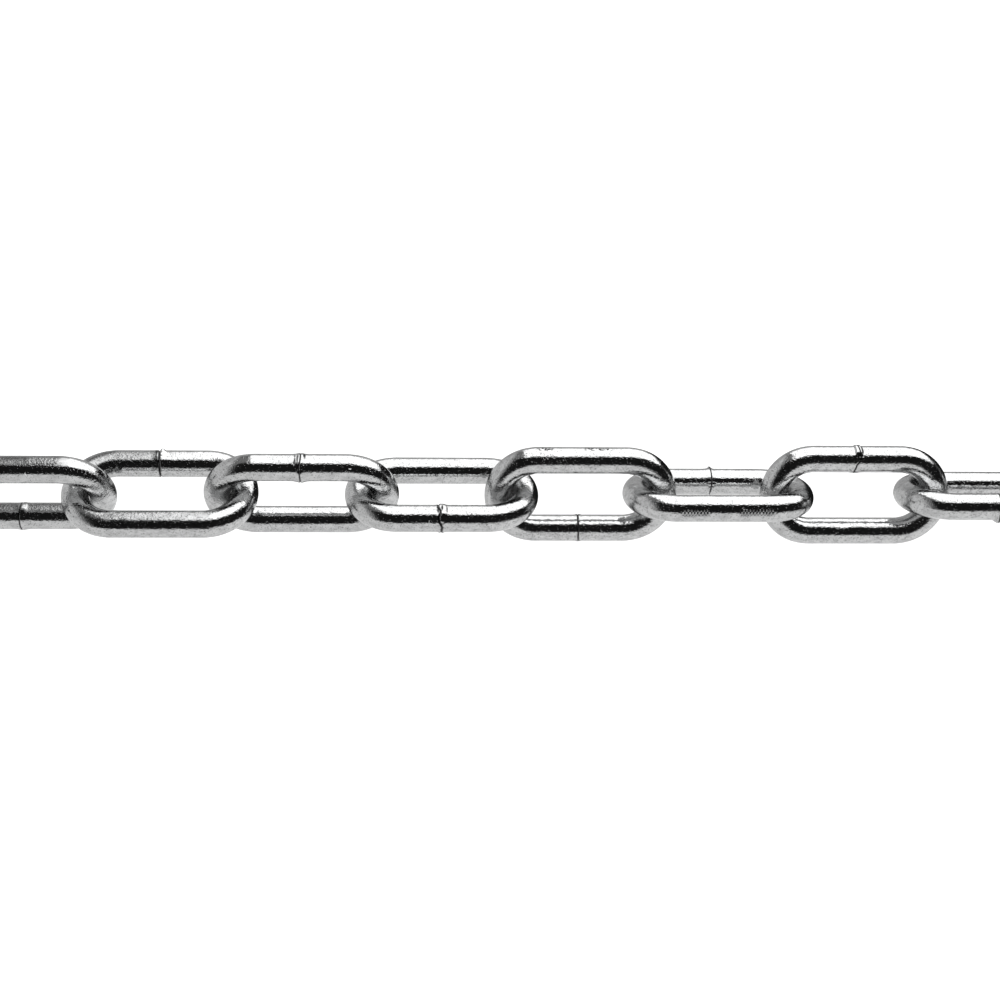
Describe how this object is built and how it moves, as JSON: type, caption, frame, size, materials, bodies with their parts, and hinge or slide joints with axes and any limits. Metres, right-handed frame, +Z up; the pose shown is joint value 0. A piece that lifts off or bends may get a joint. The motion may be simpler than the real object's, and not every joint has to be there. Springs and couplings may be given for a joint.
{
  "type": "length of welded steel chain",
  "caption": "Straight length of bright zinc-plated welded steel chain, its oval round-wire links threaded through one another and each turned a quarter turn from the last.",
  "frame": {"origin": "the middle of the length's base, on the ground that the chain lies on", "axes": "+X along the run from the first link to the last, +Z up"},
  "size_m": [0.3038, 0.0181, 0.0183],
  "materials": {
    "zinc_plated_steel": "gloss"
  },
  "bodies": {
    "link_01": {"link_01": "zinc_plated_steel"},
    "link_02": {"link_02": "zinc_plated_steel"},
    "link_03": {"link_03": "zinc_plated_steel"},
    "link_04": {"link_04": "zinc_plated_steel"},
    "link_05": {"link_05": "zinc_plated_steel"},
    "link_06": {"link_06": "zinc_plated_steel"},
    "link_07": {"link_07": "zinc_plated_steel"},
    "link_08": {"link_08": "zinc_plated_steel"},
    "link_09": {"link_09": "zinc_plated_steel"},
    "link_10": {"link_10": "zinc_plated_steel"},
    "link_11": {"link_11": "zinc_plated_steel"}
  },
  "joints": [
    {"name": "hinge_01_02", "type": "hinge", "parent": "link_01", "child": "link_02", "pos_m": [-0.1248, 0, 0.00917], "axis": [0, -0.5, 0.866], "range_deg": [-90, 90]},
    {"name": "hinge_02_03", "type": "hinge", "parent": "link_02", "child": "link_03", "pos_m": [-0.0981, 0, 0.00917], "axis": [0, -0.7071, -0.7071], "range_deg": [-90, 90]},
    {"name": "hinge_03_04", "type": "hinge", "parent": "link_03", "child": "link_04", "pos_m": [-0.0714, 0, 0.00917], "axis": [0, 0.8903, -0.4554], "range_deg": [-90, 90]},
    {"name": "hinge_04_05", "type": "hinge", "parent": "link_04", "child": "link_05", "pos_m": [-0.0447, 0, 0.00917], "axis": [0, 0.4768, 0.879], "range_deg": [-90, 90]},
    {"name": "hinge_05_06", "type": "hinge", "parent": "link_05", "child": "link_06", "pos_m": [-0.018, 0, 0.00917], "axis": [0, -0.8426, 0.5386], "range_deg": [-90, 90]},
    {"name": "hinge_06_07", "type": "hinge", "parent": "link_06", "child": "link_07", "pos_m": [0.0087, 0, 0.00917], "axis": [0, -0.6636, -0.7481], "range_deg": [-90, 90]},
    {"name": "hinge_07_08", "type": "hinge", "parent": "link_07", "child": "link_08", "pos_m": [0.0354, 0, 0.00917], "axis": [0, 0.6072, -0.7946], "range_deg": [-90, 90]},
    {"name": "hinge_08_09", "type": "hinge", "parent": "link_08", "child": "link_09", "pos_m": [0.0621, 0, 0.00917], "axis": [0, 0.8621, 0.5067], "range_deg": [-90, 90]},
    {"name": "hinge_09_10", "type": "hinge", "parent": "link_09", "child": "link_10", "pos_m": [0.0888, 0, 0.00917], "axis": [0, -0.4652, 0.8852], "range_deg": [-90, 90]},
    {"name": "hinge_10_11", "type": "hinge", "parent": "link_10", "child": "link_11", "pos_m": [0.1155, 0, 0.00917], "axis": [0, -0.8921, -0.4518], "range_deg": [-90, 90]}
  ]
}
